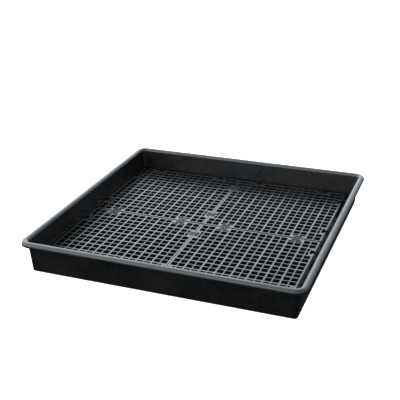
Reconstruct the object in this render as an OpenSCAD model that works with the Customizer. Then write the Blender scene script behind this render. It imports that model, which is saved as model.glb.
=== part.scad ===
// Low spill tray with a lift-out load grid in four panels, joined by drop-in link clips.
// Millimetres, +Z up. The origin is the centre of the underside, which stands on the ground.

/* [Tray] */
// Width over the rim, left to right
tray_w = 1000; // [800:10:1400]
// Depth over the rim, front to back
tray_d = 1000; // [800:10:1400]
// Height over the rim
tray_h = 120; // [90:5:180]
// Thickness of the floor, the walls and the rim
wall = 4; // [3:0.5:6]
// Width of the rim, from its outer face to the inner face of the wall
rim_w = 25; // [22:1:32]
// Height of the rim's turned-down lip
rim_drop = 16; // [15:0.5:30]
// Width of the rim's flat top between its two rounded shoulders
rim_flat = 3; // [1:0.5:8]
// Distance from the rim's outer face in to the foot of the wall
base_inset = 31; // [26:1:34]
// Corner radius of the flat part of the floor
floor_corner = 3; // [2:0.5:30]
// Radius between the floor and the inner face of the wall
floor_fillet = 5; // [3:0.5:5]

/* [Grid] */
// Cells along each side of a panel
cells = 16; // [12:4:20]
// Width of every second bar and of the edge bars
heavy_bar = 6.5; // [4:0.5:8]
// Width of the bars between them
thin_bar = 4; // [3:0.5:6]
// Height of the heavy bars
heavy_depth = 18; // [14:1:30]
// Height of the thin bars
thin_depth = 12; // [8:1:14]
// Clear height between the tray floor and the heavy bars
leg_h = 18; // [12:1:40]
// Span of a cross-shaped leg
leg_span = 22; // [16:1:30]
// Thickness of a leg's two ribs
leg_rib = 5; // [3:0.5:6.5]
// Mean gap between the grid and the side walls
grid_gap_x = 18.5; // [14:0.5:22]
// Mean gap between the grid and the front and back walls
grid_gap_y = 16.5; // [14:0.5:22]
// How far the loose grid has slid to the right of centre, as a share of its gap
slide_x = -0.86; // [-0.9:0.02:0.9]
// How far the loose grid has slid back from centre, as a share of its gap
slide_y = 0; // [-0.9:0.02:0.9]
// Gap between the left and the right panels
seam_x = 1.5; // [1:0.5:6]
// Gap between the front and the back panels
seam_y = 6; // [1:0.5:6]

/* [Clips] */
// Thickness of the block behind a connector's socket
socket_back = 3.5; // [2:0.5:5]
// Length of a socket along the panel's edge
socket_w = 32; // [26:1:36]
// Depth of a socket behind its shoulder
socket_depth = 11.5; // [9:0.5:12]
// Depth of a socket's shoulder behind the panel's edge
shoulder = 5; // [4:0.5:6]
// Width of the gate that a clip's neck passes through
gate_w = 18; // [14:1:22]
// Thickness of a clip
clip_t = 8; // [5:0.5:10]
// Clearance around the seated end of a clip
snug = 0.2; // [0.1:0.05:0.4]
// Clearance around the loose end of a clip
loose = 1.5; // [0.8:0.1:2]
// Corner chamfer of a clip's ends
clip_chamfer = 2; // [1:0.5:3]
// Length, width and depth of the pry notch in a clip
notch_l = 12; // [8:1:16]
notch_w = 2.5; // [2:0.5:4]
notch_t = 3; // [2:0.5:4]

/* [Hidden] */

eps = 0.01;
lap = 1;
web_spread = 1.3;
tray_black = [0.055, 0.056, 0.06];
grid_black = [0.075, 0.077, 0.082];
clip_black = [0.10, 0.10, 0.108];

// Lengths shared by neighbouring shapes are whole hundredths, so that the shapes meet exactly
function hundredths(v) = round(v * 100) / 100;

// Outer radius of the rim's two rounded shoulders, and the height at which they start
rim_round = (rim_w - rim_flat) / 2;
shoulder_z = tray_h - rim_round;
// Slope of the walls: how far the inner face moves outwards per millimetre of height
slope = (base_inset + wall - rim_w) / shoulder_z;
// Lengthening of a horizontal offset that is measured square to the sloped wall
skew = sqrt(1 + slope * slope);

// Distance from the rim's outer face to the wall's inner face, at height z
function inner_u(z) = base_inset + wall - slope * z;

// Heights of the floor and of the grid
floor_z = wall;
bar_z = floor_z + leg_h;
grid_z = bar_z + heavy_depth;

// Centre of the radius between floor and wall, and the whole rim radius that leaves room for it
fillet_z = floor_z + floor_fillet;
fillet_u = inner_u(fillet_z) + floor_fillet * skew;
corner_r = round(fillet_u + floor_corner);
// Half lengths of the tray's straight sides
half_x = hundredths(tray_w / 2 - corner_r);
half_y = hundredths(tray_d / 2 - corner_r);

// Cell pitch each way, from the room inside the walls at the underside of the bars
room_x = tray_w - 2 * inner_u(bar_z);
room_y = tray_d - 2 * inner_u(bar_z);
pitch_x = hundredths((room_x - 2 * grid_gap_x - seam_x - 2 * heavy_bar) / (2 * cells));
pitch_y = hundredths((room_y - 2 * grid_gap_y - seam_y - 2 * heavy_bar) / (2 * cells));
panel_w = cells * pitch_x + heavy_bar;
panel_d = cells * pitch_y + heavy_bar;

// A block fills the near part of two cells behind each connector
block_depth = shoulder + socket_depth + socket_back;
// A connector is centred on the thin bar this many cells from the end of an edge
near_cell = 3;
far_cell = cells - near_cell;
// Legs stand under crossings of heavy bars: near both edges and in the middle
leg_cells = [2, cells / 2, cells - 2];

// Lengths along a clip, from the outer face of the panel that it is seated in:
// its seated end lies inwards, its loose end outwards across either width of seam
seat_near = shoulder + snug;
seat_far = shoulder + socket_depth - snug;
tongue_near = max(seam_x, seam_y) + shoulder + snug;
tongue_far = min(seam_x, seam_y) + shoulder + socket_depth - snug;

// Region left in the corner between two edges when an arc of radius r about o rounds them off.
// It runs on past both edges, so that it cuts or joins cleanly
module corner_web(corner, side_a, side_b, o, r) {
    difference() {
        polygon([for (p = [corner, side_b, o, side_a]) o + web_spread * (p - o)]);
        translate(o) circle(r, $fn = 64);
    }
}

// The rim, wall and floor edge in section: x runs inwards from the rim's outer face, y upwards
module wall_section() {
    // Where the two concentric arcs at the foot touch the sloped faces
    touch_in = [fillet_u - floor_fillet / skew, fillet_z - floor_fillet * slope / skew];
    foot_r = floor_fillet + wall;
    touch_out = [fillet_u - foot_r / skew, fillet_z - foot_r * slope / skew];
    foot_corner = [fillet_u - foot_r * (skew - slope), 0];
    difference() {
        union() {
            polygon([foot_corner, [corner_r, 0], [corner_r, floor_z], [inner_u(floor_z), floor_z],
                [rim_w, shoulder_z], [rim_w - wall, shoulder_z]]);
            corner_web([inner_u(floor_z), floor_z], touch_in, [fillet_u, floor_z],
                [fillet_u, fillet_z], floor_fillet);
        }
        corner_web(foot_corner, touch_out, [fillet_u, 0], [fillet_u, fillet_z], foot_r);
    }
    difference() {
        intersection() {
            rim_bar(rim_round);
            translate([0, shoulder_z]) square([rim_w, rim_round]);
        }
        rim_bar(rim_round - wall);
    }
    translate([0, tray_h - rim_drop]) square([wall, rim_drop - rim_round]);
}

// Both rounded shoulders of the rim and the flat between them, with shoulders of radius r
module rim_bar(r) {
    translate([rim_round, shoulder_z]) circle(r, $fn = 64);
    translate([rim_w - rim_round, shoulder_z]) circle(r, $fn = 64);
    translate([rim_round, shoulder_z]) square([rim_flat, r]);
}

// One straight side of the tray, along +X, with its section running inwards along +Y
module straight_side(half) {
    translate([-half, 0, 0])
        rotate([90, 0, 90]) linear_extrude(2 * half) wall_section();
}

// A quarter turn of the same section about a vertical line through the corner's centre
module corner_turn() {
    rotate_extrude(angle = 90, $fn = 96)
        translate([corner_r, 0]) mirror([1, 0]) wall_section();
}

module sump_tray() {
    color(tray_black) union() {
        for (side = [0, 1]) {
            rotate(180 * side) translate([0, -half_y - corner_r, 0]) straight_side(half_x);
            rotate(180 * side + 90) translate([0, -half_x - corner_r, 0]) straight_side(half_y);
        }
        for (sx = [0, 1], sy = [0, 1])
            mirror([sx, 0, 0]) mirror([0, sy, 0])
                translate([half_x, half_y, 0]) corner_turn();
        translate([-half_x, -half_y, 0]) cube([2 * half_x, 2 * half_y, wall]);
    }
}

// Bars of one kind in plan: every second one, from cell line first
module bars(first, width) {
    for (k = [first : 2 : cells]) {
        translate([k * pitch_x - width / 2, -heavy_bar / 2]) square([width, panel_d]);
        translate([-heavy_bar / 2, k * pitch_y - width / 2]) square([panel_w, width]);
    }
}

// Carries a shape drawn at an edge's start, pointing inwards along +Y, to each place of a connector.
// Two kinds alternate anticlockwise round the panel, so that unlike kinds always meet at a seam
module front_edge(cell) {
    translate([cell * pitch_x, -heavy_bar / 2]) children();
}
module back_edge(cell) {
    translate([cell * pitch_x, panel_d - heavy_bar / 2]) rotate(180) children();
}
module left_edge(cell) {
    translate([-heavy_bar / 2, cell * pitch_y]) rotate(-90) children();
}
module right_edge(cell) {
    translate([panel_w - heavy_bar / 2, cell * pitch_y]) rotate(90) children();
}
module at_seats() {
    front_edge(far_cell) children();
    right_edge(far_cell) children();
    back_edge(near_cell) children();
    left_edge(near_cell) children();
}
module at_slots() {
    front_edge(near_cell) children();
    right_edge(near_cell) children();
    back_edge(far_cell) children();
    left_edge(far_cell) children();
}

// Solid block behind a connector, two cells long
module block_plan(pitch) {
    translate([-pitch, 0]) square([2 * pitch, block_depth]);
}

// Socket in plan: a gate through the edge and a wider room behind its shoulder
module socket_plan() {
    translate([-gate_w / 2, -eps]) square([gate_w, shoulder + 2 * eps]);
    translate([-socket_w / 2, shoulder]) square([socket_w, socket_depth]);
}

module leg() {
    for (turn = [0, 90])
        rotate(turn) translate([-leg_span / 2, -leg_rib / 2, floor_z]) cube([leg_span, leg_rib, leg_h + eps]);
}

// One panel, with its first crossing of bars at the origin
module grid_panel() {
    color(grid_black) difference() {
        union() {
            translate([0, 0, bar_z]) linear_extrude(heavy_depth) {
                bars(0, heavy_bar);
                at_seats() block_plan(min(pitch_x, pitch_y));
                at_slots() block_plan(min(pitch_x, pitch_y));
            }
            translate([0, 0, grid_z - thin_depth]) linear_extrude(thin_depth) bars(1, thin_bar);
            for (i = leg_cells, j = leg_cells) translate([i * pitch_x, j * pitch_y, 0]) leg();
        }
        translate([0, 0, grid_z - clip_t]) linear_extrude(clip_t + eps) at_seats() socket_plan();
        translate([0, 0, bar_z - eps]) linear_extrude(heavy_depth + 2 * eps) at_slots() socket_plan();
    }
}

// Places for a panel: side is -1 for left or front, 1 for right or back
function panel_x(side) = slide_x * grid_gap_x
    + (side > 0 ? (seam_x + heavy_bar) / 2 : heavy_bar / 2 - seam_x / 2 - panel_w);
function panel_y(side) = slide_y * grid_gap_y
    + (side > 0 ? (seam_y + heavy_bar) / 2 : heavy_bar / 2 - seam_y / 2 - panel_d);
module at_panel(side_x, side_y) {
    translate([panel_x(side_x), panel_y(side_y), 0]) children();
}

// End of a clip in plan, from near to far along +Y, with its outer corners cut off
module clip_end(near, far, width) {
    h = width / 2;
    c = clip_chamfer;
    polygon([[-h, near], [h, near], [h, far - c], [h - c, far], [c - h, far], [-h, far - c]]);
}

// Clip seated in a panel, at the start of an edge that runs along X with the panel towards +Y
module link_clip() {
    neck_w = gate_w - 2 * loose;
    translate([0, 0, grid_z - clip_t]) difference() {
        linear_extrude(clip_t) {
            clip_end(seat_near, seat_far, socket_w - 2 * snug);
            rotate(180) clip_end(tongue_near, tongue_far, socket_w - 2 * loose);
            translate([-neck_w / 2, -tongue_near - lap]) square([neck_w, tongue_near + seat_near + 2 * lap]);
        }
        translate([-notch_l / 2, (seat_near + seat_far - notch_w) / 2, clip_t - notch_t])
            cube([notch_l, notch_w, notch_t + lap]);
    }
}

module grid_panel_front_left() { at_panel(-1, -1) grid_panel(); }
module grid_panel_front_right() { at_panel(1, -1) grid_panel(); }
module grid_panel_back_left() { at_panel(-1, 1) grid_panel(); }
module grid_panel_back_right() { at_panel(1, 1) grid_panel(); }

// Clips of the two seams, each in the seat of the panel that carries it
module clip_front_outer() { color(clip_black) at_panel(1, -1) left_edge(near_cell) link_clip(); }
module clip_front_inner() { color(clip_black) at_panel(-1, -1) right_edge(far_cell) link_clip(); }
module clip_back_inner() { color(clip_black) at_panel(1, 1) left_edge(near_cell) link_clip(); }
module clip_back_outer() { color(clip_black) at_panel(-1, 1) right_edge(far_cell) link_clip(); }
module clip_left_outer() { color(clip_black) at_panel(-1, -1) back_edge(near_cell) link_clip(); }
module clip_left_inner() { color(clip_black) at_panel(-1, 1) front_edge(far_cell) link_clip(); }
module clip_right_inner() { color(clip_black) at_panel(1, -1) back_edge(near_cell) link_clip(); }
module clip_right_outer() { color(clip_black) at_panel(1, 1) front_edge(far_cell) link_clip(); }

sump_tray();
grid_panel_front_left();
grid_panel_front_right();
grid_panel_back_left();
grid_panel_back_right();
clip_front_outer();
clip_front_inner();
clip_back_inner();
clip_back_outer();
clip_left_outer();
clip_left_inner();
clip_right_inner();
clip_right_outer();
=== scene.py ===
"""Looks of a low black spill tray with a lift-out load grid in four clipped panels."""
import math

import bmesh
import bpy
import numpy as np
from mathutils import Matrix, Vector, noise


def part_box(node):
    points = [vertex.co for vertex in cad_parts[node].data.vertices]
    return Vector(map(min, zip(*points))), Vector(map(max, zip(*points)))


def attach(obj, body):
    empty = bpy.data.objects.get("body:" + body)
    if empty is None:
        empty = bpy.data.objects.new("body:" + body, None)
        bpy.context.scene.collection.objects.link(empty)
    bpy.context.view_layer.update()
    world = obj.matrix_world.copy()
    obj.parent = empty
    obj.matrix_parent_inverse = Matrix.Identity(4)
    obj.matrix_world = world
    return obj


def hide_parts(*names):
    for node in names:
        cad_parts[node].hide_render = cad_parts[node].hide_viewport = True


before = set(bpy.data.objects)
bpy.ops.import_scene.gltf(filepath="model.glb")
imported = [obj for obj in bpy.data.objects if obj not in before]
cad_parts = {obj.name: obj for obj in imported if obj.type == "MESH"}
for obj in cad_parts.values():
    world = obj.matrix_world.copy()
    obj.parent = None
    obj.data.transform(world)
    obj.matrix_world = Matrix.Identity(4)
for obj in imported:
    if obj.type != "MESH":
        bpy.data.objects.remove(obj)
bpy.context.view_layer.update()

MM = 0.001

# ---------------------------------------------------------------- sizes, in metres
WALL = 4 * MM                 # floor, walls and rim
RIM_W = 25 * MM               # rim's outer face to the wall's inner face
RIM_DROP = 16 * MM            # height of the turned-down lip
RIM_ROUND = 11 * MM           # outer radius of the rim's shoulders
BASE_INSET = 31 * MM          # rim's outer face to the foot of the wall
CORNER_R = 42 * MM            # rim corner seen from above
FLOOR_FILLET = 5 * MM
LIP_EDGE_R = 1.6 * MM         # rounding of the lip's lower edge
UNEVEN = 0.9 * MM             # how far the moulded walls wander inwards

CELLS = 16
HEAVY_BAR = 6.5 * MM
THIN_BAR = 4 * MM
HEAVY_DEPTH = 18 * MM
THIN_DEPTH = 12 * MM
LEG_SPAN = 22 * MM
LEG_RIB = 5 * MM
TOP_ROUND = 0.5 * MM          # rounding of the bars' upper edges
CELL_ROUND = 1.5 * MM         # rounding of the cells' upright corners
CLIP_ROUND = 2 * MM
CLIP_TOP_ROUND = 0.7 * MM

NEAR_CELL = 3
FAR_CELL = CELLS - NEAR_CELL
LEG_CELLS = (2, CELLS // 2, CELLS - 2)
BLOCK_DEPTH = 20 * MM
SOCKET_W = 32 * MM
SOCKET_DEPTH = 11.5 * MM
SHOULDER = 5 * MM
GATE_W = 18 * MM
CLIP_T = 8 * MM
SNUG = 0.2 * MM
LOOSE = 1.5 * MM
NOTCH = (12 * MM, 2.5 * MM, 3 * MM)
WIDE_SEAM = 6 * MM            # the wider of the two seams that a clip crosses

# ---------------------------------------------------------------- finish, light and camera

# Detail of the moulded surface, in features per metre
CLOUDS = 7
PATCHES = 38
WAVES = 4.5
SCRATCHES_X = (36, 900, 900)  # long along X, fine across it
SCRATCHES_Y = (900, 44, 900)

FLOOR_SIZE = 40
FLOOR_GLOW = 0.75             # keeps the floor white, with only a faint shadow left

# Radiance of the studio dome over the height of the direction, from straight down (-1) to straight up (1)
DOME = (
    (-1.0, (0.05, 0.05, 0.05)),
    (-0.26, (0.07, 0.07, 0.07)),
    (-0.2, (1.35, 1.45, 1.55)),
    (0.0, (1.55, 1.7, 1.85)),
    (0.3, (3.85, 4.2, 4.5)),
    (0.5, (3.85, 4.2, 4.5)),
    (1.0, (2.4, 2.6, 2.8)),
)
# The dome's strength from the left (-1) to the right (1): the big softbox stands at the left
SIDES = ((-1.0, 1.0), (-0.35, 1.0), (0.2, 0.35), (1.0, 0.35))

LENS, SENSOR = 71.77, 36
AZIMUTH, ELEVATION, ROLL = -21.16, 23.87, -0.83
AIM = Vector((-0.0394, 0.0349, 0.12))
DISTANCE = 2.994

tray_lo, tray_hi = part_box("sump_tray")
TRAY_TOP = tray_hi.z
FLOOR_Z = tray_lo.z + WALL

# ---------------------------------------------------------------- materials


class Nodes:
    """A material's node tree, with short ways to add what these materials need."""

    def __init__(self, name):
        self.material = bpy.data.materials.new(name)
        self.material.use_nodes = True
        self.tree = self.material.node_tree
        self.shader = self.tree.nodes["Principled BSDF"]
        self.place = self.tree.nodes.new("ShaderNodeTexCoord").outputs["Object"]

    def link(self, source, socket):
        self.tree.links.new(source, socket)

    def stretch(self, scale):
        """The surface's place, scaled differently each way."""
        node = self.tree.nodes.new("ShaderNodeVectorMath")
        node.operation = "MULTIPLY"
        self.link(self.place, node.inputs[0])
        node.inputs[1].default_value = scale
        return node.outputs[0]

    def noise(self, scale, detail=3.0, rough=0.55, place=None):
        node = self.tree.nodes.new("ShaderNodeTexNoise")
        node.inputs["Scale"].default_value = scale
        node.inputs["Detail"].default_value = detail
        node.inputs["Roughness"].default_value = rough
        self.link(place or self.place, node.inputs["Vector"])
        return node.outputs["Fac"]

    def remap(self, value, low, high, to_low, to_high):
        node = self.tree.nodes.new("ShaderNodeMapRange")
        node.inputs["From Min"].default_value = low
        node.inputs["From Max"].default_value = high
        node.inputs["To Min"].default_value = to_low
        node.inputs["To Max"].default_value = to_high
        self.link(value, node.inputs["Value"])
        return node.outputs["Result"]

    def math(self, operation, a, b):
        node = self.tree.nodes.new("ShaderNodeMath")
        node.operation = operation
        for socket, value in zip(node.inputs, (a, b)):
            if isinstance(value, (int, float)):
                socket.default_value = value
            else:
                self.link(value, socket)
        return node.outputs[0]

    def mix(self, factor, colour_a, colour_b):
        node = self.tree.nodes.new("ShaderNodeMix")
        node.data_type = "RGBA"
        self.link(factor, node.inputs[0])
        for socket, colour in zip((node.inputs[6], node.inputs[7]), (colour_a, colour_b)):
            if isinstance(colour, tuple):
                socket.default_value = (*colour, 1)
            else:
                self.link(colour, socket)
        return node.outputs[2]

    def bump(self, height, depth, normal=None):
        node = self.tree.nodes.new("ShaderNodeBump")
        node.inputs["Strength"].default_value = 1.0
        node.inputs["Distance"].default_value = depth
        self.link(height, node.inputs["Height"])
        if normal:
            self.link(normal, node.inputs["Normal"])
        return node.outputs["Normal"]


def moulded_black(name, colour, dusty, rough, gloss, grain_scale, grain_depth, wave_depth, scuffs):
    """Black moulded polyethylene: fine grain, slow waves, uneven sheen, pale scuffs and a film of dust."""
    n = Nodes(name)
    cloud = n.noise(CLOUDS, 4)
    patches = n.noise(PATCHES, 4, 0.62)
    grain = n.noise(grain_scale, 2, 0.5)
    # Short pale scratches, from a stretched noise with only its crests kept
    lines_x = n.noise(1, 3, 0.7, n.stretch(SCRATCHES_X))
    lines_y = n.noise(1, 3, 0.7, n.stretch(SCRATCHES_Y))
    scratch = n.math("MAXIMUM", n.remap(lines_x, 0.66, 0.74, 0, 1), n.remap(lines_y, 0.67, 0.75, 0, 1))
    scratch = n.math("MULTIPLY", scratch, n.remap(patches, 0.5, 0.68, 0, scuffs))
    dust = n.remap(n.math("ADD", cloud, patches), 0.8, 1.3, 0.0, 0.55)
    tone = n.mix(dust, colour, dusty)
    tone = n.mix(scratch, tone, tuple(min(1, 4 * c + 0.03) for c in dusty))
    n.link(tone, n.shader.inputs["Base Color"])
    sheen = n.remap(n.math("ADD", cloud, patches), 0.75, 1.25, rough - 0.05, rough + 0.09)
    sheen = n.math("ADD", sheen, n.math("MULTIPLY", scratch, 0.2))
    n.link(sheen, n.shader.inputs["Roughness"])
    n.shader.inputs["IOR"].default_value = 1.5
    n.shader.inputs["Specular IOR Level"].default_value = gloss
    waves = n.bump(n.noise(WAVES, 2, 0.4), wave_depth)
    n.link(n.bump(grain, grain_depth, waves), n.shader.inputs["Normal"])
    return n.material


def plain_floor():
    n = Nodes("studio_floor")
    n.link(n.mix(n.noise(3, 3), (0.86, 0.86, 0.86), (0.9, 0.9, 0.9)), n.shader.inputs["Base Color"])
    n.shader.inputs["Roughness"].default_value = 0.8
    n.shader.inputs["Specular IOR Level"].default_value = 0.1
    n.shader.inputs["Emission Color"].default_value = (1, 1, 1, 1)
    n.shader.inputs["Emission Strength"].default_value = FLOOR_GLOW
    return n.material


# ---------------------------------------------------------------- mesh helpers


def new_object(name, mesh, materials):
    for material in materials:
        mesh.materials.append(material)
    piece = bpy.data.objects.new(name, mesh)
    bpy.context.scene.collection.objects.link(piece)
    return piece


def shade(mesh, degrees=38):
    """Smooth faces with edges kept sharp where the surface turns by more than that many degrees."""
    mesh.shade_smooth()
    mesh.set_sharp_from_angle(angle=math.radians(degrees))


def block_mesh(adds, cuts):
    """One skin round blocks that are joined and cut away, each given as (x0, x1, y0, y1, z0, z1)."""
    lines = []
    for axis in range(3):
        values = sorted(round(b[2 * axis + k], 7) for b in adds + cuts for k in (0, 1))
        lines.append([v for i, v in enumerate(values) if i == 0 or v - values[i - 1] > 1e-6])

    def place(axis, value):
        """Index of the grid line nearest to a coordinate."""
        return int(np.argmin(np.abs(np.array(lines[axis]) - value)))

    solid = np.zeros([len(line) - 1 for line in lines], bool)
    for boxes, value in ((adds, True), (cuts, False)):
        for b in boxes:
            solid[tuple(slice(place(k, b[2 * k]), place(k, b[2 * k + 1])) for k in range(3))] = value

    bm = bmesh.new()
    made = {}

    def vert(i, j, k):
        if (i, j, k) not in made:
            made[i, j, k] = bm.verts.new((lines[0][i], lines[1][j], lines[2][k]))
        return made[i, j, k]

    padded = np.pad(solid, 1)
    for axis in range(3):
        u, v = (axis + 1) % 3, (axis + 2) % 3
        for sign in (-1, 1):
            shown = padded & ~np.roll(padded, -sign, axis)
            for cell in np.argwhere(shown) - 1:
                corner = cell.copy()
                corner[axis] += sign > 0
                ring = []
                for du, dv in ((0, 0), (1, 0), (1, 1), (0, 1)):
                    point = corner.copy()
                    point[u] += du
                    point[v] += dv
                    ring.append(vert(*point))
                bm.faces.new(ring if sign > 0 else ring[::-1])
    return bm


def round_edges(bm, chosen, width, segments):
    bmesh.ops.bevel(bm, geom=chosen, offset=width, offset_type="OFFSET", segments=segments,
                    profile=0.5, affect="EDGES", clamp_overlap=True)


def upright_edges(bm, low):
    """Upright edges above the height low at which the sides turn a corner."""
    found = []
    for e in bm.edges:
        a, b = (v.co for v in e.verts)
        if abs(a.x - b.x) + abs(a.y - b.y) > 1e-7 or min(a.z, b.z) < low - 1e-7:
            continue
        if len(e.link_faces) == 2 and e.calc_face_angle(0) > 0.5:
            found.append(e)
    return found


def rim_edges(bm, height):
    """Edges of the flat top face at that height, where it meets the sides."""
    found = []
    for e in bm.edges:
        if all(abs(v.co.z - height) < 1e-7 for v in e.verts) and len(e.link_faces) == 2:
            flat = [abs(f.normal.z) > 0.9 for f in e.link_faces]
            if flat[0] != flat[1]:
                found.append(e)
    return found


def finish_blocks(bm, name, materials, top, cell_round_from, upright_r, top_r):
    bm.normal_update()
    round_edges(bm, upright_edges(bm, cell_round_from), upright_r, 2)
    bm.normal_update()
    round_edges(bm, rim_edges(bm, top), top_r, 2)
    bmesh.ops.remove_doubles(bm, verts=bm.verts, dist=1e-6)
    bmesh.ops.recalc_face_normals(bm, faces=bm.faces)
    mesh = bpy.data.meshes.new(name)
    bm.to_mesh(mesh)
    bm.free()
    shade(mesh)
    return new_object(name, mesh, materials)


# ---------------------------------------------------------------- tray


def arc(centre, radius, start, end, steps):
    """Points on a circle, angles in degrees from the inward direction towards up."""
    angles = [math.radians(start + (end - start) * i / steps) for i in range(steps + 1)]
    return [(centre[0] + radius * math.cos(a), centre[1] + radius * math.sin(a)) for a in angles]


def straight(a, b, steps):
    """Points after a, up to and without b."""
    return [(a[0] + (b[0] - a[0]) * i / steps, a[1] + (b[1] - a[1]) * i / steps) for i in range(1, steps)]


def tray_section():
    """The tray's skin in section, as (inset from the rim, height), from the floor's top over the rim
    and down the outside to the floor's underside."""
    shoulder_z = TRAY_TOP - RIM_ROUND
    slope = (BASE_INSET + WALL - RIM_W) / shoulder_z
    tilt = math.degrees(math.atan(slope))
    skew = math.hypot(1, slope)
    inner = lambda z: BASE_INSET + WALL - slope * z
    fillet_z = FLOOR_Z + FLOOR_FILLET
    fillet_u = inner(fillet_z) + FLOOR_FILLET * skew
    foot_r = FLOOR_FILLET + WALL
    left, right = RIM_ROUND, RIM_W - RIM_ROUND
    lip_z = TRAY_TOP - RIM_DROP

    floor_arc = arc((fillet_u, fillet_z), FLOOR_FILLET, 270, 180 + tilt, 5)
    top_inner = arc((right, shoulder_z), RIM_ROUND, -tilt / 2, 90, 8)
    top_outer = arc((left, shoulder_z), RIM_ROUND, 90, 180, 8)
    lip = arc((LIP_EDGE_R, lip_z + LIP_EDGE_R), LIP_EDGE_R, 180, 270, 3)
    lip += arc((WALL - LIP_EDGE_R, lip_z + LIP_EDGE_R), LIP_EDGE_R, 270, 360, 3)
    under_outer = arc((left, shoulder_z), RIM_ROUND - WALL, 180, 90, 6)
    under_inner = arc((right, shoulder_z), RIM_ROUND - WALL, 90, 0, 6)
    foot_arc = arc((fillet_u, fillet_z), foot_r, 180 + tilt, 270, 6)

    return (floor_arc + straight(floor_arc[-1], top_inner[0], 8) + top_inner + top_outer
            + straight(top_outer[-1], lip[0], 3) + lip + straight(lip[-1], under_outer[0], 3)
            + under_outer + under_inner + straight(under_inner[-1], foot_arc[0], 8) + foot_arc)


CORNERS = ((1, -1), (1, 1), (-1, 1), (-1, -1))   # in plan, anticlockwise


def ring_points(inset):
    """A rounded rectangle in plan, inset from the rim, with the same count of points at any inset."""
    half = (tray_hi - tray_lo) / 2
    centre = (tray_hi + tray_lo) / 2
    radius = CORNER_R - inset
    turns, along = 8, 24
    points = []
    centres = [Vector((centre.x + sx * (half.x - CORNER_R), centre.y + sy * (half.y - CORNER_R)))
               for sx, sy in CORNERS]
    for quarter, corner in enumerate(centres):
        start = math.radians(90 * quarter - 90)
        for i in range(turns + 1):
            a = start + math.radians(90) * i / turns
            points.append(corner + radius * Vector((math.cos(a), math.sin(a))))
        next_corner = centres[(quarter + 1) % 4]
        a = math.radians(90 * quarter)
        end = next_corner + radius * Vector((math.cos(a), math.sin(a)))
        begin = points[-1]
        points += [begin.lerp(end, i / along) for i in range(1, along)]
    return points


def uneven(point, outward):
    """Where a moulded point really lies: walls bow slowly inwards, never out of the tray's own box."""
    share = 0.5 + 0.5 * noise.noise(Vector((point.x * 5, point.y * 5, point.z * 9)))
    height = (point.z - tray_lo.z) / (TRAY_TOP - tray_lo.z)
    strength = UNEVEN * math.sin(math.pi * min(1, max(0, height))) ** 0.7
    return point - outward * strength * share


def make_tray(material):
    section = tray_section()
    bm = bmesh.new()
    rings = []
    rim_line = ring_points(0)
    foot_line = ring_points(BASE_INSET)
    for inset, z in section:
        ring = []
        for k, flat in enumerate(ring_points(inset)):
            outward = (rim_line[k] - foot_line[k]).normalized()
            spot = uneven(Vector((flat.x, flat.y, z)), Vector((outward.x, outward.y, 0)))
            ring.append(bm.verts.new(spot))
        rings.append(ring)
    count = len(rings[0])
    for a, b in zip(rings, rings[1:]):
        for i in range(count):
            j = (i + 1) % count
            bm.faces.new((a[i], b[i], b[j], a[j]))
    bm.faces.new(rings[0])
    bm.faces.new(rings[-1])
    bmesh.ops.recalc_face_normals(bm, faces=bm.faces)
    mesh = bpy.data.meshes.new("tray_shell")
    bm.to_mesh(mesh)
    bm.free()
    shade(mesh, 30)
    tray = new_object("tray_shell", mesh, [material])
    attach(tray, "tray")
    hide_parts("sump_tray")


# ---------------------------------------------------------------- grid panels and clips


def edge_box(lo, hi, edge, centre, along, near, far, z0, z1):
    """A box at a panel's edge: half-width along the edge about centre, from near to far inwards."""
    if edge == "front":
        return (centre - along, centre + along, lo.y + near, lo.y + far, z0, z1)
    if edge == "back":
        return (centre - along, centre + along, hi.y - far, hi.y - near, z0, z1)
    if edge == "left":
        return (lo.x + near, lo.x + far, centre - along, centre + along, z0, z1)
    return (hi.x - far, hi.x - near, centre - along, centre + along, z0, z1)


SEATS = (("front", FAR_CELL), ("right", FAR_CELL), ("back", NEAR_CELL), ("left", NEAR_CELL))
SLOTS = (("front", NEAR_CELL), ("right", NEAR_CELL), ("back", FAR_CELL), ("left", FAR_CELL))


def panel_blocks(lo, hi):
    """Boxes that make up one panel between its outer corners, and boxes cut from it."""
    pitch = ((hi.x - lo.x - HEAVY_BAR) / CELLS, (hi.y - lo.y - HEAVY_BAR) / CELLS)
    first = (lo.x + HEAVY_BAR / 2, lo.y + HEAVY_BAR / 2)
    top, bar_z = hi.z, hi.z - HEAVY_DEPTH
    adds, cuts = [], []
    for k in range(CELLS + 1):
        width, low = (HEAVY_BAR, bar_z) if k % 2 == 0 else (THIN_BAR, top - THIN_DEPTH)
        x, y = (first[axis] + k * pitch[axis] for axis in (0, 1))
        adds.append((x - width / 2, x + width / 2, lo.y, hi.y, low, top))
        adds.append((lo.x, hi.x, y - width / 2, y + width / 2, low, top))
    for places, through in ((SEATS, False), (SLOTS, True)):
        for edge, cell in places:
            axis = 0 if edge in ("front", "back") else 1
            centre = first[axis] + cell * pitch[axis]
            low = bar_z if through else top - CLIP_T
            adds.append(edge_box(lo, hi, edge, centre, min(pitch), 0, BLOCK_DEPTH, bar_z, top))
            cuts.append(edge_box(lo, hi, edge, centre, GATE_W / 2, 0, SHOULDER, low, top))
            cuts.append(edge_box(lo, hi, edge, centre, SOCKET_W / 2,
                                 SHOULDER, SHOULDER + SOCKET_DEPTH, low, top))
    for i in LEG_CELLS:
        for j in LEG_CELLS:
            x, y = first[0] + i * pitch[0], first[1] + j * pitch[1]
            a, b = LEG_SPAN / 2, LEG_RIB / 2
            adds.append((x - a, x + a, y - b, y + b, lo.z, bar_z))
            adds.append((x - b, x + b, y - a, y + a, lo.z, bar_z))
    return adds, cuts


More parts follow.
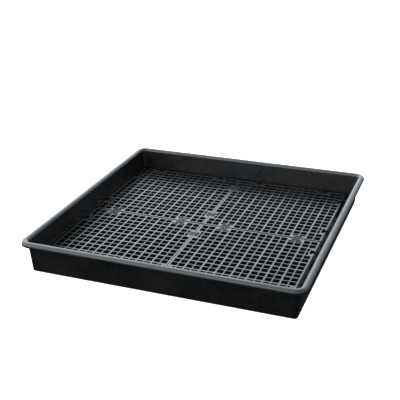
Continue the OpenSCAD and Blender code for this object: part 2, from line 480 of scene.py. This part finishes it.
def make_panel(side, body, material):
    node = "grid_panel_" + side
    lo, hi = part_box(node)
    bm = block_mesh(*panel_blocks(lo, hi))
    panel = finish_blocks(bm, "load_grid_" + side, [material], hi.z, hi.z - THIN_DEPTH,
                          CELL_ROUND, TOP_ROUND)
    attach(panel, body)
    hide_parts(node)


def clip_blocks(span, top):
    """Boxes of a clip lying along +Y: seated end first, loose end last."""
    seat = SOCKET_DEPTH - 2 * SNUG
    tongue = span - seat - (2 * SNUG + 2 * SHOULDER + WIDE_SEAM)
    low = top - CLIP_T
    wide, narrow, neck = SOCKET_W / 2 - SNUG, SOCKET_W / 2 - LOOSE, GATE_W / 2 - LOOSE
    adds = [(-wide, wide, 0, seat, low, top),
            (-neck, neck, seat, span - tongue, low, top),
            (-narrow, narrow, span - tongue, span, low, top)]
    mid = seat / 2
    length, width, depth = NOTCH
    cuts = [(-length / 2, length / 2, mid - width / 2, mid + width / 2, top - depth, top)]
    return adds, cuts


# Direction in which each clip's loose end points, in degrees anticlockwise from +Y, and its body
CLIPS = {
    "clip_front_outer": (90, "front_right_panel"), "clip_front_inner": (-90, "front_left_panel"),
    "clip_back_inner": (90, "back_right_panel"), "clip_back_outer": (-90, "back_left_panel"),
    "clip_left_outer": (0, "front_left_panel"), "clip_left_inner": (180, "back_left_panel"),
    "clip_right_inner": (0, "front_right_panel"), "clip_right_outer": (180, "back_right_panel"),
}


def make_clip(node, turn, body, material):
    lo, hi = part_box(node)
    span = max(hi.x - lo.x, hi.y - lo.y)
    adds, cuts = clip_blocks(span, hi.z)
    bm = block_mesh(adds, cuts)
    clip = finish_blocks(bm, "link_" + node, [material], hi.z, lo.z, CLIP_ROUND, CLIP_TOP_ROUND)
    centre = (lo + hi) / 2
    spin = Matrix.Rotation(math.radians(turn), 4, "Z")
    to_middle = Matrix.Translation((0, -span / 2, 0))
    clip.data.transform(Matrix.Translation((centre.x, centre.y, 0)) @ spin @ to_middle)
    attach(clip, body)
    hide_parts(node)


# ---------------------------------------------------------------- stage, light and camera


def make_stage():
    bpy.ops.mesh.primitive_plane_add(size=FLOOR_SIZE, location=(0, 0, tray_lo.z))
    floor = bpy.context.object
    floor.name = "studio_floor"
    floor.data.materials.append(plain_floor())
    floor.visible_glossy = False
    floor.visible_diffuse = False


def dome_ramp(tree, height, stops):
    """A colour ramp over a direction's part, which runs from -1 to 1."""
    half = tree.nodes.new("ShaderNodeMath")
    half.operation = "MULTIPLY_ADD"
    half.inputs[1].default_value = 0.5
    half.inputs[2].default_value = 0.5
    tree.links.new(height, half.inputs[0])
    node = tree.nodes.new("ShaderNodeValToRGB")
    elements = node.color_ramp.elements
    while len(elements) < len(stops):
        elements.new(1.0)
    for element, (part, value) in zip(elements, stops):
        element.position = (part + 1) / 2
        element.color = (*(value if isinstance(value, tuple) else (value,) * 3), 1)
    tree.links.new(half.outputs[0], node.inputs[0])
    return node.outputs[0]


def make_light():
    """A soft studio dome, bright above the horizon and dark below it; plain white where the camera looks."""
    world = bpy.data.worlds.new("studio")
    bpy.context.scene.world = world
    world.use_nodes = True
    tree = world.node_tree
    background = tree.nodes["Background"]
    place = tree.nodes.new("ShaderNodeTexCoord")
    split = tree.nodes.new("ShaderNodeSeparateXYZ")
    tree.links.new(place.outputs["Generated"], split.inputs[0])
    tree.links.new(dome_ramp(tree, split.outputs["Z"], DOME), background.inputs["Color"])
    tree.links.new(dome_ramp(tree, split.outputs["X"], SIDES), background.inputs["Strength"])
    sight = tree.nodes.new("ShaderNodeLightPath")
    plain = tree.nodes.new("ShaderNodeBackground")
    plain.inputs["Color"].default_value = (1, 1, 1, 1)
    mixer = tree.nodes.new("ShaderNodeMixShader")
    tree.links.new(sight.outputs["Is Camera Ray"], mixer.inputs[0])
    tree.links.new(background.outputs[0], mixer.inputs[1])
    tree.links.new(plain.outputs[0], mixer.inputs[2])
    tree.links.new(mixer.outputs[0], tree.nodes["World Output"].inputs["Surface"])


def make_camera():
    data = bpy.data.cameras.new("camera")
    data.lens, data.sensor_width = LENS, SENSOR
    camera = bpy.data.objects.new("camera", data)
    bpy.context.scene.collection.objects.link(camera)
    azimuth, elevation = math.radians(AZIMUTH), math.radians(ELEVATION)
    look = Vector((math.sin(azimuth) * math.cos(elevation), math.cos(azimuth) * math.cos(elevation),
                   -math.sin(elevation)))
    turn = look.to_track_quat("-Z", "Y").to_matrix().to_4x4()
    roll = Matrix.Rotation(math.radians(ROLL), 4, "Z")
    camera.matrix_world = Matrix.Translation(AIM - look * DISTANCE) @ turn @ roll
    bpy.context.scene.camera = camera


# ---------------------------------------------------------------- build

tray_black = moulded_black(
    "tray_polyethylene", colour=(0.0022, 0.0023, 0.0024), dusty=(0.005, 0.005, 0.0049),
    rough=0.28, gloss=0.5, grain_scale=900, grain_depth=0.02 * MM, wave_depth=1.2 * MM, scuffs=0.25)
grid_black = moulded_black(
    "grid_polyethylene", colour=(0.002, 0.0021, 0.0023), dusty=(0.0045, 0.0046, 0.0048),
    rough=0.26, gloss=0.5, grain_scale=1100, grain_depth=0.018 * MM, wave_depth=0.5 * MM, scuffs=0.3)
clip_black = moulded_black(
    "clip_polyethylene", colour=(0.002, 0.002, 0.0022), dusty=(0.004, 0.004, 0.0043),
    rough=0.5, gloss=0.18, grain_scale=1300, grain_depth=0.018 * MM, wave_depth=0.4 * MM, scuffs=0.25)

make_tray(tray_black)
for side in ("front_left", "front_right", "back_left", "back_right"):
    make_panel(side, side + "_panel", grid_black)
for node, (turn, body) in CLIPS.items():
    make_clip(node, turn, body, clip_black)

make_stage()
make_light()
make_camera()
bpy.context.scene.view_settings.view_transform = "Standard"
